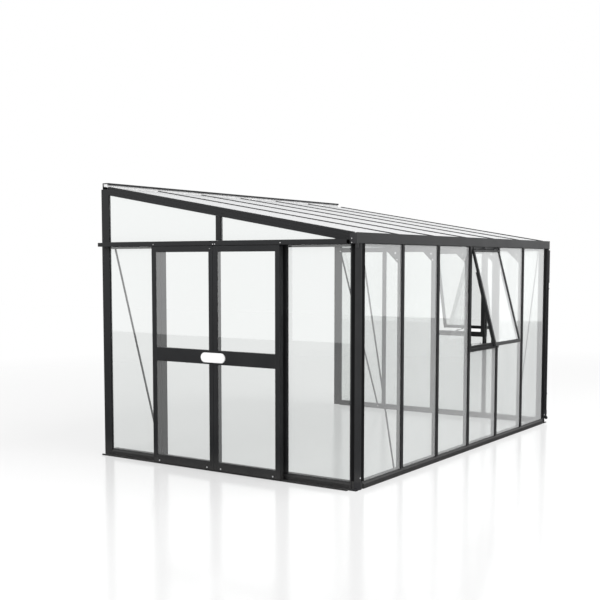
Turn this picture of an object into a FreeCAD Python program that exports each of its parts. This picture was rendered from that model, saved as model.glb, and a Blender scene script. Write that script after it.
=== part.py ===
import FreeCAD, Part

import math
import os

os.makedirs("parts", exist_ok=True)

# Driving dimensions in millimetres. X runs along the front, Y towards the wall, Z up,
# and the origin is under the middle of the front base rail.
BAY = 620.0              # one 610 mm pane and the web of its bar
BAYS = 6
FRONT = -30.0            # outer face of the front
DEPTH = 2594.0           # outer face of the front to the wall
FRAME = 58.0             # outer face to inner face of every side
GABLE_STEP = 56.0        # outer face of a gable beyond the last grid line
ROOF_EDGE = 1896.4       # roof line carried down to the outer face of the front
SLOPE = 0.1728           # rise of the roof for each millimetre of depth
RAIL_TOP = 56.0          # top of the base rails
HEAD = 1797.0            # underside of the eaves beam and of the headers
EAVES = 1822.0           # top of the eaves beam and of the corner posts
SKIN = 11.0              # outer face to the front of a glass groove
GROOVE = 17.0            # outer face to the back of a glass groove
PANE = (12.0, 16.0)      # outer and inner face of the glass, in from the outer face
WALLED = 3.0             # wall thickness of the extrusions
BOX = 18.0               # outer face to the hollow box of a glazing bar
BAR_BACK = 48.0          # outer face to the back of that box
WEB = 3.0                # half the web between two panes
CAP = 8.0                # thickness of a bar cap
GABLE_BARS = (690.0, 1310.0, 1930.0)   # far gable bars, from the front face
MEETING = 1307.0         # meeting line of the doors, from the front face
WALL_POST = 85.0         # width of a wall post
WALL_POST_DEPTH = 24.0   # outer face to its inner face
WALL_POST_TOP = 2308.0
CORNER = 76.0            # size of a corner post
CORNER_ROUND = 37.0      # radius of its round outer edge
WINDOW_OPEN = 15.0       # how far both windows stand open, in degrees
STAY_SHARE = 0.371       # turn of a stay bar for each degree of its window

V = FreeCAD.Vector
HALF = BAY * BAYS / 2
GABLE = HALF + GABLE_STEP
FRONT_BARS = [BAY * number - HALF for number in range(1, BAYS)]
WALL_POST_FACE = DEPTH - WALL_POST
NEAR = -1                # the gable with the doors
FAR = 1                  # the gable with a window


def roof(depth, drop=0.0):
    """Height of the roof line at a depth from the front face, less a drop."""
    return ROOF_EDGE + SLOPE * depth - drop


def on_front(middle=0.0):
    """Places on the front: across along X, in from the outer face, up."""
    return lambda across, inward, up: V(middle + across, FRONT + inward, up)


def on_gable(side, middle=0.0):
    """Places on a gable: across from the front face, in from the outer face, up."""
    return lambda across, inward, up: V(side * (GABLE - inward), FRONT + middle + across, up)


def prism(points, along):
    """The flat outline pushed along a vector."""
    solid = Part.Face(Part.makePolygon(points + points[:1])).extrude(along)
    if solid.Volume < 0:
        solid.reverse()
    return solid


def run(place, profile, start, end):
    """A profile of (inward, up) run across a side."""
    along = place(end, 0, 0) - place(start, 0, 0)
    return prism([place(start, inward, up) for inward, up in profile], along)


def sheet(place, outline, inward):
    """An outline of (across, up) with its thickness inward."""
    along = place(0, inward[1], 0) - place(0, inward[0], 0)
    return prism([place(across, inward[0], up) for across, up in outline], along)


def block(place, across, inward, up):
    """A box from its three ranges."""
    profile = [(inward[0], up[0]), (inward[1], up[0]), (inward[1], up[1]), (inward[0], up[1])]
    return run(place, profile, across[0], across[1])


def up_roof(profile, start, end):
    """A profile of (x, drop) run up the roof, with plumb ends."""
    length = end - start
    points = [V(x, FRONT + start, roof(start, drop)) for x, drop in profile]
    return prism(points, V(0, length, length * SLOPE))


def rod(start, end, radius):
    return Part.makeCylinder(radius, (end - start).Length, start, end - start)


def tube(start, end, outer, inner):
    return rod(start, end, outer).cut(rod(start, end, inner))


def bored(x, depth, bottom, top, outer, inner):
    """An upright tube at x and at a depth from the front face."""
    return tube(V(x, FRONT + depth, bottom), V(x, FRONT + depth, top), outer, inner)


def save(node, solids):
    """Write one node, with its pieces as separate solids."""
    shape = solids[0] if len(solids) == 1 else Part.makeCompound(solids)
    shape.exportStep("parts/" + node + ".step")


front = on_front()
gable = {NEAR: on_gable(NEAR), FAR: on_gable(FAR)}

# Base rails: the glass stands in a groove behind a lip that sheds water

BASE_RAIL = [(0, 0), (FRAME, 0), (FRAME, RAIL_TOP), (GROOVE, RAIL_TOP), (GROOVE, 38), (SKIN, 38),
             (SKIN, 50), (0, 34)]


def base_rail(place, start, end):
    room = block(place, (start, end), (BOX + WALLED, FRAME - WALLED), (WALLED, RAIL_TOP - WALLED))
    return run(place, BASE_RAIL, start, end).cut(room)


save("base_rail_front", [base_rail(front, CORNER - GABLE, GABLE - CORNER)])
save("base_rail_far_gable", [base_rail(gable[FAR], CORNER, WALL_POST_FACE)])
save("threshold_rail", [base_rail(gable[NEAR], CORNER, WALL_POST_FACE)])

# Corner posts: a round outer edge, a groove at its gable side, a recess at its front side

FLANGE = 93.5            # reach of the lip that holds the end pane of the front
RECESS = 65.0            # far side of the recess beside the round edge
SHOE_TOP = 62.0          # height of a corner shoe's sleeve
SHOE_WALL = 3.0


def corner_post(side):
    def at(a, b):
        return V(side * (GABLE - a), FRONT + b, 0)

    on_round = CORNER_ROUND * (1 - math.cos(math.radians(45)))
    edge = Part.Arc(at(0, CORNER_ROUND), at(on_round, on_round), at(CORNER_ROUND, 0))
    outline = [(CORNER_ROUND, 0), (CORNER_ROUND, 9), (FLANGE, 9), (FLANGE, 11.5), (66, 11.5), (66, BOX),
               (CORNER, BOX), (CORNER, CORNER), (BOX, CORNER), (BOX, 66), (11.5, 66), (11.5, CORNER),
               (0, CORNER), (0, RECESS), (6, RECESS), (6, CORNER_ROUND), (0, CORNER_ROUND)]
    straight = Part.makePolygon([at(a, b) for a, b in outline])
    post = Part.Face(Part.Wire([edge.toShape()] + straight.Edges)).extrude(V(0, 0, EAVES))
    if post.Volume < 0:
        post.reverse()
    chamber = block(gable[side], (21, 73), (21, 73), (0, EAVES))
    over_rail = block(gable[side], (9, 11.5), (CORNER, FLANGE), (0, RAIL_TOP))
    return post.cut(chamber).cut(over_rail)


def corner_shoe(side):
    """A quarter-round sleeve at the foot of a post, with a tongue on the ground."""
    centre = V(side * (GABLE - CORNER_ROUND), FRONT + CORNER_ROUND, 0)
    sleeve = tube(centre, centre + V(0, 0, SHOE_TOP), CORNER_ROUND + SHOE_WALL, CORNER_ROUND)
    outside = (-SHOE_WALL, CORNER_ROUND)
    quarter = block(gable[side], outside, outside, (0, SHOE_TOP))
    tongue = block(gable[side], (0, 60), (-35, 0), (0, 8))
    return sleeve.common(quarter).fuse(tongue).removeSplitter()


corner_posts = {NEAR: corner_post(NEAR), FAR: corner_post(FAR)}
save("corner_post_near", [corner_posts[NEAR]])
save("corner_post_far", [corner_posts[FAR]])
save("corner_shoes", [corner_shoe(NEAR), corner_shoe(FAR)])

# Wall posts: a narrow leg inside takes the bolts into the wall

POST_BOLTS = (500.0, 1700.0)
WALL_POST_LEG = 36.5     # outer face of the post to the end of the leg
POST_BOLT_INWARD = 30.0
BOLT_HOLE = 4.5


def wall_post(side):
    place = gable[side]
    height = (0, WALL_POST_TOP)
    post = block(place, (WALL_POST_FACE, DEPTH), (0, WALL_POST_DEPTH), height)
    post = post.cut(block(place, (WALL_POST_FACE, WALL_POST_FACE + 10), (SKIN, GROOVE), height))
    chamber = (WALL_POST_FACE + 13, DEPTH - WALLED)
    post = post.cut(block(place, chamber, (WALLED, WALL_POST_DEPTH - WALLED), height))
    post = post.fuse(block(place, (DEPTH - WALLED, DEPTH), (WALL_POST_DEPTH, WALL_POST_LEG), height))
    post = post.removeSplitter()
    for level in POST_BOLTS:
        ends = [place(across, POST_BOLT_INWARD, level) for across in (DEPTH - 10, DEPTH + 1)]
        post = post.cut(rod(ends[0], ends[1], BOLT_HOLE))
    return post


save("wall_post_near", [wall_post(NEAR)])
save("wall_post_far", [wall_post(FAR)])

# Glazing bars: a hollow box inside the glass, a web between the panes and a cap outside

BAR = 11.0               # half the width of a bar's box
CAP_HALF = 16.5          # half the width of a bar's cap


def glazing_bar(place, top):
    box = block(place, (-BAR, BAR), (BOX, BAR_BACK), (RAIL_TOP, HEAD))
    room = (WALLED - BAR, BAR - WALLED)
    box = box.cut(block(place, room, (BOX + WALLED, BAR_BACK - WALLED), (RAIL_TOP, HEAD)))
    return box.fuse(block(place, (-WEB, WEB), (CAP, BOX), (RAIL_TOP, top)))


def bar_cap(place, top):
    return block(place, (-CAP_HALF, CAP_HALF), (0, CAP), (51, top))


def bar_seals(place, top):
    """The two strips between a cap and the glass on each side of the web."""
    return [block(place, across, (CAP, PANE[0]), (RAIL_TOP, top)) for across in ((-13, -WEB), (WEB, 13))]


FRONT_TOP = EAVES - 2    # top of the front bars' webs, under the gutter
GABLE_TOP = 1816.0       # top of the gable bars' webs, under the header's lip

caps = []
seals = []
bars = []
for x in FRONT_BARS:
    bars.append(glazing_bar(on_front(x), FRONT_TOP))
    caps.append(bar_cap(on_front(x), FRONT_TOP + 1))
    seals += bar_seals(on_front(x), FRONT_TOP)
save("front_glazing_bars", bars)

bars = []
for depth in GABLE_BARS:
    bars.append(glazing_bar(on_gable(FAR, depth), GABLE_TOP))
    caps.append(bar_cap(on_gable(FAR, depth), GABLE_TOP))
    seals += bar_seals(on_gable(FAR, depth), GABLE_TOP)
save("far_gable_bars", bars)

# Door jambs: a box beside the doorway, and a shallow wing with a glass groove beyond it

JAMB = 85.0
JAMB_BOX = 48.0
JAMB_WING = 24.0         # depth of the wing
RIGHT_JAMB = 643.0
LEFT_JAMB = 1912.0
LIP_BOTTOM = 1817.0      # underside of the headers' outer lip


def door_jamb(start, away):
    """A jamb from its doorway edge: away is the direction to its wing along the gable."""
    place = gable[NEAR]
    whole = (RAIL_TOP, HEAD)

    def part(across, inward, up):
        return block(place, sorted(start + away * distance for distance in across), inward, up)

    post = part((0, JAMB_BOX), (0, FRAME), whole).fuse(part((JAMB_BOX, JAMB), (0, JAMB_WING), whole))
    post = post.fuse(part((0, JAMB), (0, SKIN), (HEAD, LIP_BOTTOM))).removeSplitter()
    post = post.cut(part((JAMB - 10, JAMB), (SKIN, GROOVE), whole))
    post = post.cut(part((WALLED, JAMB_BOX - WALLED), (SKIN + WALLED, FRAME - WALLED), whole))
    return post.cut(part((JAMB_BOX, JAMB - 13), (WALLED, JAMB_WING - WALLED), (RAIL_TOP, HEAD - WALLED)))


save("door_jambs", [door_jamb(RIGHT_JAMB + JAMB, -1), door_jamb(LEFT_JAMB, 1)])

# Eaves beam behind the heads of the front bars

beam = block(front, (CORNER - GABLE, GABLE - CORNER), (BOX, FRAME), (HEAD, EAVES))
beam_room = (BOX + WALLED, FRAME - WALLED)
beam = beam.cut(block(front, (-GABLE, GABLE), beam_room, (HEAD + WALLED, EAVES - WALLED)))
save("eaves_beam", [beam])

# Headers: one across each gable at eaves height, with a lip in front of the upper panes

HEADER_TOP = 1845.0
HEADER = [(0, LIP_BOTTOM), (0, HEADER_TOP + 10), (10, HEADER_TOP + 10), (10, HEADER_TOP),
          (FRAME, HEADER_TOP), (FRAME, HEAD), (BOX, HEAD), (BOX, LIP_BOTTOM)]


def header(side):
    room = block(gable[side], (CORNER, WALL_POST_FACE), (BOX + WALLED, FRAME - WALLED),
                 (HEAD + WALLED, HEADER_TOP - WALLED))
    return run(gable[side], HEADER, CORNER, WALL_POST_FACE).cut(room)


headers = {NEAR: header(NEAR), FAR: header(FAR)}
save("door_gable_header", [headers[NEAR]])
save("far_gable_header", [headers[FAR]])

# Verge rafters: two fine grooves run along the outer face

GUTTER_BACK = 63.0       # outer face to the back of the gutter
SHEET_TOP = 8.1          # drop from the roof line to the top of a roof panel
SHEET_BOTTOM = 18.3      # drop to its underside
BAR_BOTTOM = 58.0        # drop to the underside of the rafters and roof bars
VERGE = [(0, 1), (36, 1), (36, SHEET_BOTTOM), (50, SHEET_BOTTOM), (50, BAR_BOTTOM), (SKIN, BAR_BOTTOM),
         (SKIN, 74), (0, 74), (0, 49.5), (2, 49.5), (2, 46.5), (0, 46.5), (0, 23.5), (2, 23.5),
         (2, 20.5), (0, 20.5)]
VERGE_ROOM = [(6, 21.3), (47, 21.3), (47, 55), (6, 55)]


def verge_rafter(side):
    outer = [(side * (GABLE - inward), drop) for inward, drop in VERGE]
    inner = [(side * (GABLE - inward), drop) for inward, drop in VERGE_ROOM]
    rafter = up_roof(outer, GUTTER_BACK, WALL_POST_FACE)
    return rafter.cut(up_roof(inner, GUTTER_BACK, WALL_POST_FACE)).cut(headers[side])


save("verge_rafter_near", [verge_rafter(NEAR)])
save("verge_rafter_far", [verge_rafter(FAR)])

# Upper bars: the short bar above each header

UPPER_BAR_TOP = 75.0     # drop to the top of the web and cap, under the rafter's skin
UPPER_CAP_HALF = 23.0


def upright_to_roof(place, half, inward, foot, drop):
    top = [roof(GABLE_BARS[1] + across, drop) for across in (half, -half)]
    return sheet(place, [(-half, foot), (half, foot), (half, top[0]), (-half, top[1])], inward)


upper_bars = []
for side in (NEAR, FAR):
    place = on_gable(side, GABLE_BARS[1])
    box = upright_to_roof(place, BAR, (BOX, BAR_BACK), HEADER_TOP, BAR_BOTTOM)
    room = upright_to_roof(place, BAR - WALLED, (BOX + WALLED, BAR_BACK - WALLED), HEADER_TOP, BAR_BOTTOM)
    web = upright_to_roof(place, WEB, (CAP, BOX), HEADER_TOP + 10, UPPER_BAR_TOP)
    upper_bars.append(box.cut(room).fuse(web))
    caps.append(upright_to_roof(place, UPPER_CAP_HALF, (0, CAP), HEADER_TOP + 11, UPPER_BAR_TOP))
save("gable_upper_bars", upper_bars)

# Roof bars, their caps and the pale panels between them

ROOF_BAR = [(-4, SHEET_TOP), (-4, SHEET_BOTTOM), (-22, SHEET_BOTTOM), (-22, 21), (-BAR, 21),
            (-BAR, BAR_BOTTOM), (BAR, BAR_BOTTOM), (BAR, 21), (22, 21), (22, SHEET_BOTTOM),
            (4, SHEET_BOTTOM), (4, SHEET_TOP)]
ROOF_BAR_ROOM = [(-8, 24), (8, 24), (8, 55), (-8, 55)]
ROOF_CAP = [(-15, SHEET_TOP), (-15, 6), (-8, 1), (8, 1), (15, 6), (15, SHEET_TOP)]
SHEET_FRONT = 40.0       # the panels overhang the gutter
SHEET_BACK = 2580.0      # and end inside the wall plate
PLATE_LIP = 2527.0       # front edge of the wall plate
FILLER_FRONT = 2537.0


def beside(x, profile):
    return [(x + across, drop) for across, drop in profile]


roof_bars = []
for x in FRONT_BARS:
    bar = up_roof(beside(x, ROOF_BAR), GUTTER_BACK, PLATE_LIP)
    roof_bars.append(bar.cut(up_roof(beside(x, ROOF_BAR_ROOM), GUTTER_BACK, PLATE_LIP)))
    caps.append(up_roof(beside(x, ROOF_CAP), SHEET_FRONT, FILLER_FRONT))
save("roof_bars", roof_bars)
save("glazing_bar_caps", caps)

panels = []
for number in range(BAYS):
    left = max(BAY * number - HALF + 5, 38 - GABLE)
    right = min(BAY * (number + 1) - HALF - 5, GABLE - 38)
    profile = [(left, SHEET_TOP), (right, SHEET_TOP), (right, SHEET_BOTTOM), (left, SHEET_BOTTOM)]
    panels.append(up_roof(profile, SHEET_FRONT, SHEET_BACK))
save("roof_panels", panels)

# Wall plate: a channel along the wall that takes the heads of the panels

PLATE_TOP = 2363.5
PLATE_LIP_HEIGHT = 16.0
PLATE_CROWN = 9.0        # thickness of its top flange
PLATE_ENDS = (16 - GABLE, HALF)
PLATE_BOLTS = (-1800.0, -600.0, 600.0, 1800.0)
PLATE_BOLT_LEVEL = 2335.0
WALL_PLATE = [(PLATE_LIP, WALL_POST_TOP), (DEPTH, WALL_POST_TOP), (DEPTH, PLATE_TOP),
              (PLATE_LIP, PLATE_TOP), (PLATE_LIP, PLATE_TOP - PLATE_LIP_HEIGHT),
              (PLATE_LIP + 3, PLATE_TOP - PLATE_LIP_HEIGHT),
              (PLATE_LIP + 3, PLATE_TOP - PLATE_CROWN), (DEPTH - 3, PLATE_TOP - PLATE_CROWN),
              (DEPTH - 3, WALL_POST_TOP + 3), (PLATE_LIP, WALL_POST_TOP + 3)]
FILLER = [(FILLER_FRONT, roof(FILLER_FRONT, SHEET_TOP)), (SHEET_BACK, roof(SHEET_BACK, SHEET_TOP)),
          (SHEET_BACK, PLATE_TOP - PLATE_CROWN), (FILLER_FRONT, PLATE_TOP - PLATE_CROWN)]

wall_plate = run(front, WALL_PLATE, PLATE_ENDS[0], PLATE_ENDS[1])
for x in PLATE_BOLTS:
    hole = rod(front(x, DEPTH - 10, PLATE_BOLT_LEVEL), front(x, DEPTH + 1, PLATE_BOLT_LEVEL), BOLT_HOLE)
    wall_plate = wall_plate.cut(hole)
save("wall_plate", [wall_plate])
save("wall_plate_filler", [run(front, FILLER, PLATE_ENDS[0], PLATE_ENDS[1])])

# Gutter with a moulded cap and outlet at each end

GUTTER_TOP = 1900.0
GUTTER_HALF = 1949.0
GUTTER_BACK_TOP = roof(GUTTER_BACK - 3, SHEET_BOTTOM)
OUTLET = 1935.0          # outlets along X
OUTLET_DEPTH = 12.0      # and in from the outer face
STUB = (12.0, 9.0)       # outer and inner radius of an outlet stub
GUTTER = [(0, EAVES), (GUTTER_BACK, EAVES), (GUTTER_BACK, GUTTER_BACK_TOP),
          (GUTTER_BACK - 3, GUTTER_BACK_TOP), (GUTTER_BACK - 3, EAVES + 3), (3, EAVES + 3),
          (3, GUTTER_TOP), (0, GUTTER_TOP)]
END_CAP = [(0, EAVES - 3), (GUTTER_BACK, EAVES - 3), (GUTTER_BACK, 1890), (0, GUTTER_TOP)]
STUB_BOTTOM = 1788.0

gutter = run(front, GUTTER, -GUTTER_HALF, GUTTER_HALF)
end_caps = []
for side in (NEAR, FAR):
    bottom = front(side * OUTLET, OUTLET_DEPTH, STUB_BOTTOM)
    top = front(side * OUTLET, OUTLET_DEPTH, EAVES + 4)
    gutter = gutter.cut(rod(bottom, top, STUB[1]))
    plate = run(front, END_CAP, side * GUTTER_HALF, side * (GUTTER_HALF + 3))
    tongue = block(front, (side * (GABLE + 6), side * (GUTTER_HALF + 3)), (0, 40), (EAVES - 3, EAVES))
    stub = rod(bottom, front(side * OUTLET, OUTLET_DEPTH, EAVES - 3), STUB[0])
    end_caps.append(plate.fuse(tongue).fuse(stub).cut(rod(bottom, top, STUB[1])).removeSplitter())
save("gutter", [gutter])
save("gutter_end_caps", end_caps)

# Downpipe at the far corner, its moulded sleeve and shoe, and its clips

PIPE = 17.5
PIPE_BORE = 15.5
PIPE_TOP = 1770.0
PIPE_BOTTOM = 110.0
SOCKET = PIPE + 2.5
SLEEVE = 22.0
SLEEVE_ENDS = (1470.0, 1806.0)
SHOE_BEND = 40.0         # radius of the shoe's bend
SHOE_TURN = 70.0         # its turn, in degrees

save("downpipe", [bored(OUTLET, OUTLET_DEPTH, PIPE_BOTTOM, PIPE_TOP, PIPE, PIPE_BORE)])

sleeve = bored(OUTLET, OUTLET_DEPTH, SLEEVE_ENDS[0], PIPE_TOP, SLEEVE, PIPE)
sleeve = sleeve.fuse(bored(OUTLET, OUTLET_DEPTH, PIPE_TOP, SLEEVE_ENDS[1], SLEEVE, STUB[0]))

bend_start = front(OUTLET, OUTLET_DEPTH, PIPE_BOTTOM - 20)
circles = [Part.Wire(Part.makeCircle(radius, bend_start)) for radius in (PIPE, PIPE_BORE)]
ring = Part.makeFace(circles, "Part::FaceMakerBullseye")
bend = ring.revolve(bend_start + V(SHOE_BEND, 0, 0), V(0, -1, 0), SHOE_TURN)
turn = math.radians(SHOE_TURN)
mouth = bend_start + V(SHOE_BEND * (1 - math.cos(turn)), 0, -SHOE_BEND * math.sin(turn))
mouth_end = mouth + V(15 * math.sin(turn), 0, -15 * math.cos(turn))
shoe = bend.fuse(tube(mouth, mouth_end, PIPE, PIPE_BORE))
shoe = shoe.fuse(bored(OUTLET, OUTLET_DEPTH, PIPE_BOTTOM - 20, PIPE_BOTTOM, SOCKET, PIPE_BORE))
shoe = shoe.fuse(bored(OUTLET, OUTLET_DEPTH, PIPE_BOTTOM, PIPE_BOTTOM + 25, SOCKET, PIPE))
save("downpipe_fittings", [sleeve.removeSplitter(), shoe.removeSplitter()])

clips = []
for level in (300.0, 1400.0):
    band = bored(OUTLET, OUTLET_DEPTH, level, level + 14, PIPE + 3, PIPE)
    arm = block(front, (GABLE, OUTLET), (53, 57), (level, level + 14))
    leg = block(front, (OUTLET - 2, OUTLET + 2), (OUTLET_DEPTH + PIPE + 1, 57), (level, level + 14))
    clips.append(band.fuse(leg).fuse(arm).removeSplitter())
save("downpipe_clips", clips)

# Knee plates between the front bars and the roof bars

KNEE_FOOT = 1672.0
KNEE_NOSE = (169.0, 1787.0)
KNEE_BACK = 175.0        # where it leaves the roof bar
KNEE_HOLE = (76.0, 1755.0)
KNEE = [(BAR_BACK, KNEE_FOOT), KNEE_NOSE, (KNEE_BACK, roof(KNEE_BACK, BAR_BOTTOM)),
        (GUTTER_BACK, roof(GUTTER_BACK, BAR_BOTTOM)), (GUTTER_BACK, EAVES - 1), (FRAME, EAVES - 1),
        (FRAME, HEAD), (BAR_BACK, HEAD)]

knees = []
for x in FRONT_BARS:
    place = on_front(x)
    hole = rod(place(-3, *KNEE_HOLE), place(3, *KNEE_HOLE), 7)
    knees.append(run(place, KNEE, -2, 2).cut(hole))
save("knee_plates", knees)

# Wind braces: flat strips across the inside of the end bays

BRACE = (FRAME, FRAME + 3)
BRACE_HALF = 10.0


def brace(place, foot, head):
    """A flat strip between two points of (across, up)."""
    length = math.hypot(head[0] - foot[0], head[1] - foot[1])
    aside = ((head[1] - foot[1]) / length * BRACE_HALF, (foot[0] - head[0]) / length * BRACE_HALF)
    outline = [(foot[0] + aside[0], foot[1] + aside[1]), (head[0] + aside[0], head[1] + aside[1]),
               (head[0] - aside[0], head[1] - aside[1]), (foot[0] - aside[0], foot[1] - aside[1])]
    return sheet(place, outline, BRACE)


BRACE_FOOT = 30.0
BRACE_HEAD = 1811.0
FRONT_BRACES = [((side * (600 - HALF), BRACE_FOOT), (side * (70 - HALF), BRACE_HEAD)) for side in (1, -1)]
GABLE_BRACE = ((1982, BRACE_FOOT), (2497, BRACE_HEAD))

braces = [brace(front, foot, head) for foot, head in FRONT_BRACES]
braces += [brace(gable[side], GABLE_BRACE[0], GABLE_BRACE[1]) for side in (NEAR, FAR)]
save("wind_braces", braces)

# Glass

GLASS_FOOT = 39.0
SILL_GROOVE = 891.0      # top of the panes under the windows
WINDOW_BAY = 3           # the front bay with a window, counted from the doors' end
EDGE = WEB + 1           # grid line to the edge of a pane

panes = []
for number in range(BAYS):
    left = max(BAY * number - HALF + EDGE, 70 - GABLE)
    right = min(BAY * (number + 1) - HALF - EDGE, GABLE - 70)
    top = SILL_GROOVE if number == WINDOW_BAY else FRONT_TOP
    panes.append(block(front, (left, right), PANE, (GLASS_FOOT, top)))
save("front_glass", panes)


def upper_panes(side):
    panes = []
    for start, end in ((110, GABLE_BARS[1] - EDGE), (GABLE_BARS[1] + EDGE, WALL_POST_FACE + 8)):
        top = [roof(end, BAR_BOTTOM + 3), roof(start, BAR_BOTTOM + 3)]
        foot = HEADER_TOP + 1
        panes.append(sheet(gable[side], [(start, foot), (end, foot), (end, top[0]), (start, top[1])], PANE))
    return panes


LOWER_PANES = ((70, GABLE_BARS[0] - EDGE, LIP_BOTTOM - 2),
               (GABLE_BARS[0] + EDGE, GABLE_BARS[1] - EDGE, SILL_GROOVE),
               (GABLE_BARS[1] + EDGE, GABLE_BARS[2] - EDGE, LIP_BOTTOM - 2),
               (GABLE_BARS[2] + EDGE, WALL_POST_FACE + 8, LIP_BOTTOM - 2))
panes = [block(gable[FAR], (start, end), PANE, (GLASS_FOOT, top)) for start, end, top in LOWER_PANES]
save("far_gable_glass", panes + upper_panes(FAR))

BESIDE_DOORS = ((70, RIGHT_JAMB + 7), (LEFT_JAMB + JAMB - 7, WALL_POST_FACE + 8))
panes = [block(gable[NEAR], across, PANE, (GLASS_FOOT, LIP_BOTTOM - 2)) for across in BESIDE_DOORS]
save("door_gable_glass", panes + upper_panes(NEAR))
save("glazing_seals", seals)

# Sliding doors: two leaves hang outside the gable from a slotted track.
# Everything about them is measured out from the gable, so inward is negative.

doors = gable[NEAR]
LEAF = (-74.0, -24.0)    # outer and inner face of a leaf
LEAF_MIDDLE = -56.0
LEAF_FOOT = 14.0
LEAF_HEAD = 1812.0
LEAF_WIDTH = 645.0
STILE = 41.0
RAILS = ((LEAF_FOOT, 79.0), (870.0, 979.0), (1767.0, LEAF_HEAD))
DOOR_GLASS = (-68.0, -64.0)
DOOR_GROOVE = (-68.5, -63.5)
DOOR_ROOM = (-60.5, -27.0)
GROOVE_DEPTH = 8.0
TRACK = (1816.0, 1849.0)
TRACK_WALL = 2.5
TRACK_ENDS = (67.0, 2572.0)
SLOT_HALF = 5.0          # half the slot that the hangers pass through
ROLLER = 11.5
AXLE = 3.0
AXLE_LEVEL = TRACK[0] + TRACK_WALL + 0.3 + ROLLER
HANGER_INSET = 90.0      # edge of a leaf to the middle of a hanger
GUIDE_INSET = 60.0
RIB = (4.0, 12.0)        # height of the lower track's rib
LEAF_SCREW = 31.0        # level of the screws at a leaf's foot
HANDLE = (883.0, 962.0)
HANDLE_REACH = 122.0     # meeting line to the round end of a handle plate
HANDLE_GAP = 0.3         # meeting line to its straight end, which stays sharp

track = block(doors, TRACK_ENDS, (LEAF[0], 0), TRACK)
track_room = (TRACK[0] + TRACK_WALL, TRACK[1] - TRACK_WALL)
track = track.cut(block(doors, TRACK_ENDS, (LEAF[0] + TRACK_WALL, -TRACK_WALL), track_room))
slot = (LEAF_MIDDLE - SLOT_HALF, LEAF_MIDDLE + SLOT_HALF)
track = track.cut(block(doors, TRACK_ENDS, slot, (TRACK[0], track_room[0])))
stops = []
for stop in (130, 2500):
    stops.append(block(doors, (stop, stop + 10), (LEAF[0] + TRACK_WALL, slot[0]), (track_room[0], 1838)))
save("door_header_track", [track.fuse(stops[0]).fuse(stops[1])])

track_plate = block(doors, (66, TRACK_ENDS[1]), (-62, 0), (0, RIB[0]))
rib = block(doors, (66, TRACK_ENDS[1]), (LEAF_MIDDLE - 2, LEAF_MIDDLE + 2), RIB)
save("lower_door_track", [track_plate.fuse(rib)])


def hanger(middle):
    """A plate that stands in the top rail and carries the fixed axle of two wheels."""
    plate = block(doors, (middle - 25, middle + 25), (LEAF_MIDDLE - 2, LEAF_MIDDLE + 2), (1778, 1840))
    return plate.fuse(rod(doors(middle, -71, AXLE_LEVEL), doors(middle, -41, AXLE_LEVEL), AXLE))


def roller(middle):
    """The two wheels of one hanger, outside and inside the slot."""
    wheels = []
    for start in (-70.5, -49.5):
        ends = [doors(middle, start, AXLE_LEVEL), doors(middle, start + 8, AXLE_LEVEL)]
        wheels.append(tube(ends[0], ends[1], ROLLER, AXLE + 0.05))
    return wheels


def door_guide(middle):
    """A block under the leaf that straddles the rib of the lower track."""
    guide = block(doors, (middle - 20, middle + 20), (-62, -50), (5, LEAF_FOOT))
    return guide.cut(block(doors, (middle - 20, middle + 20), (-58.5, -53.5), (5, RIB[1] + 0.5)))


def screw(place, across, inward, level, radius, height=2.5):
    """A round screw head that stands outwards from a face."""
    return rod(place(across, inward, level), place(across, inward - height, level), radius)


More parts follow.
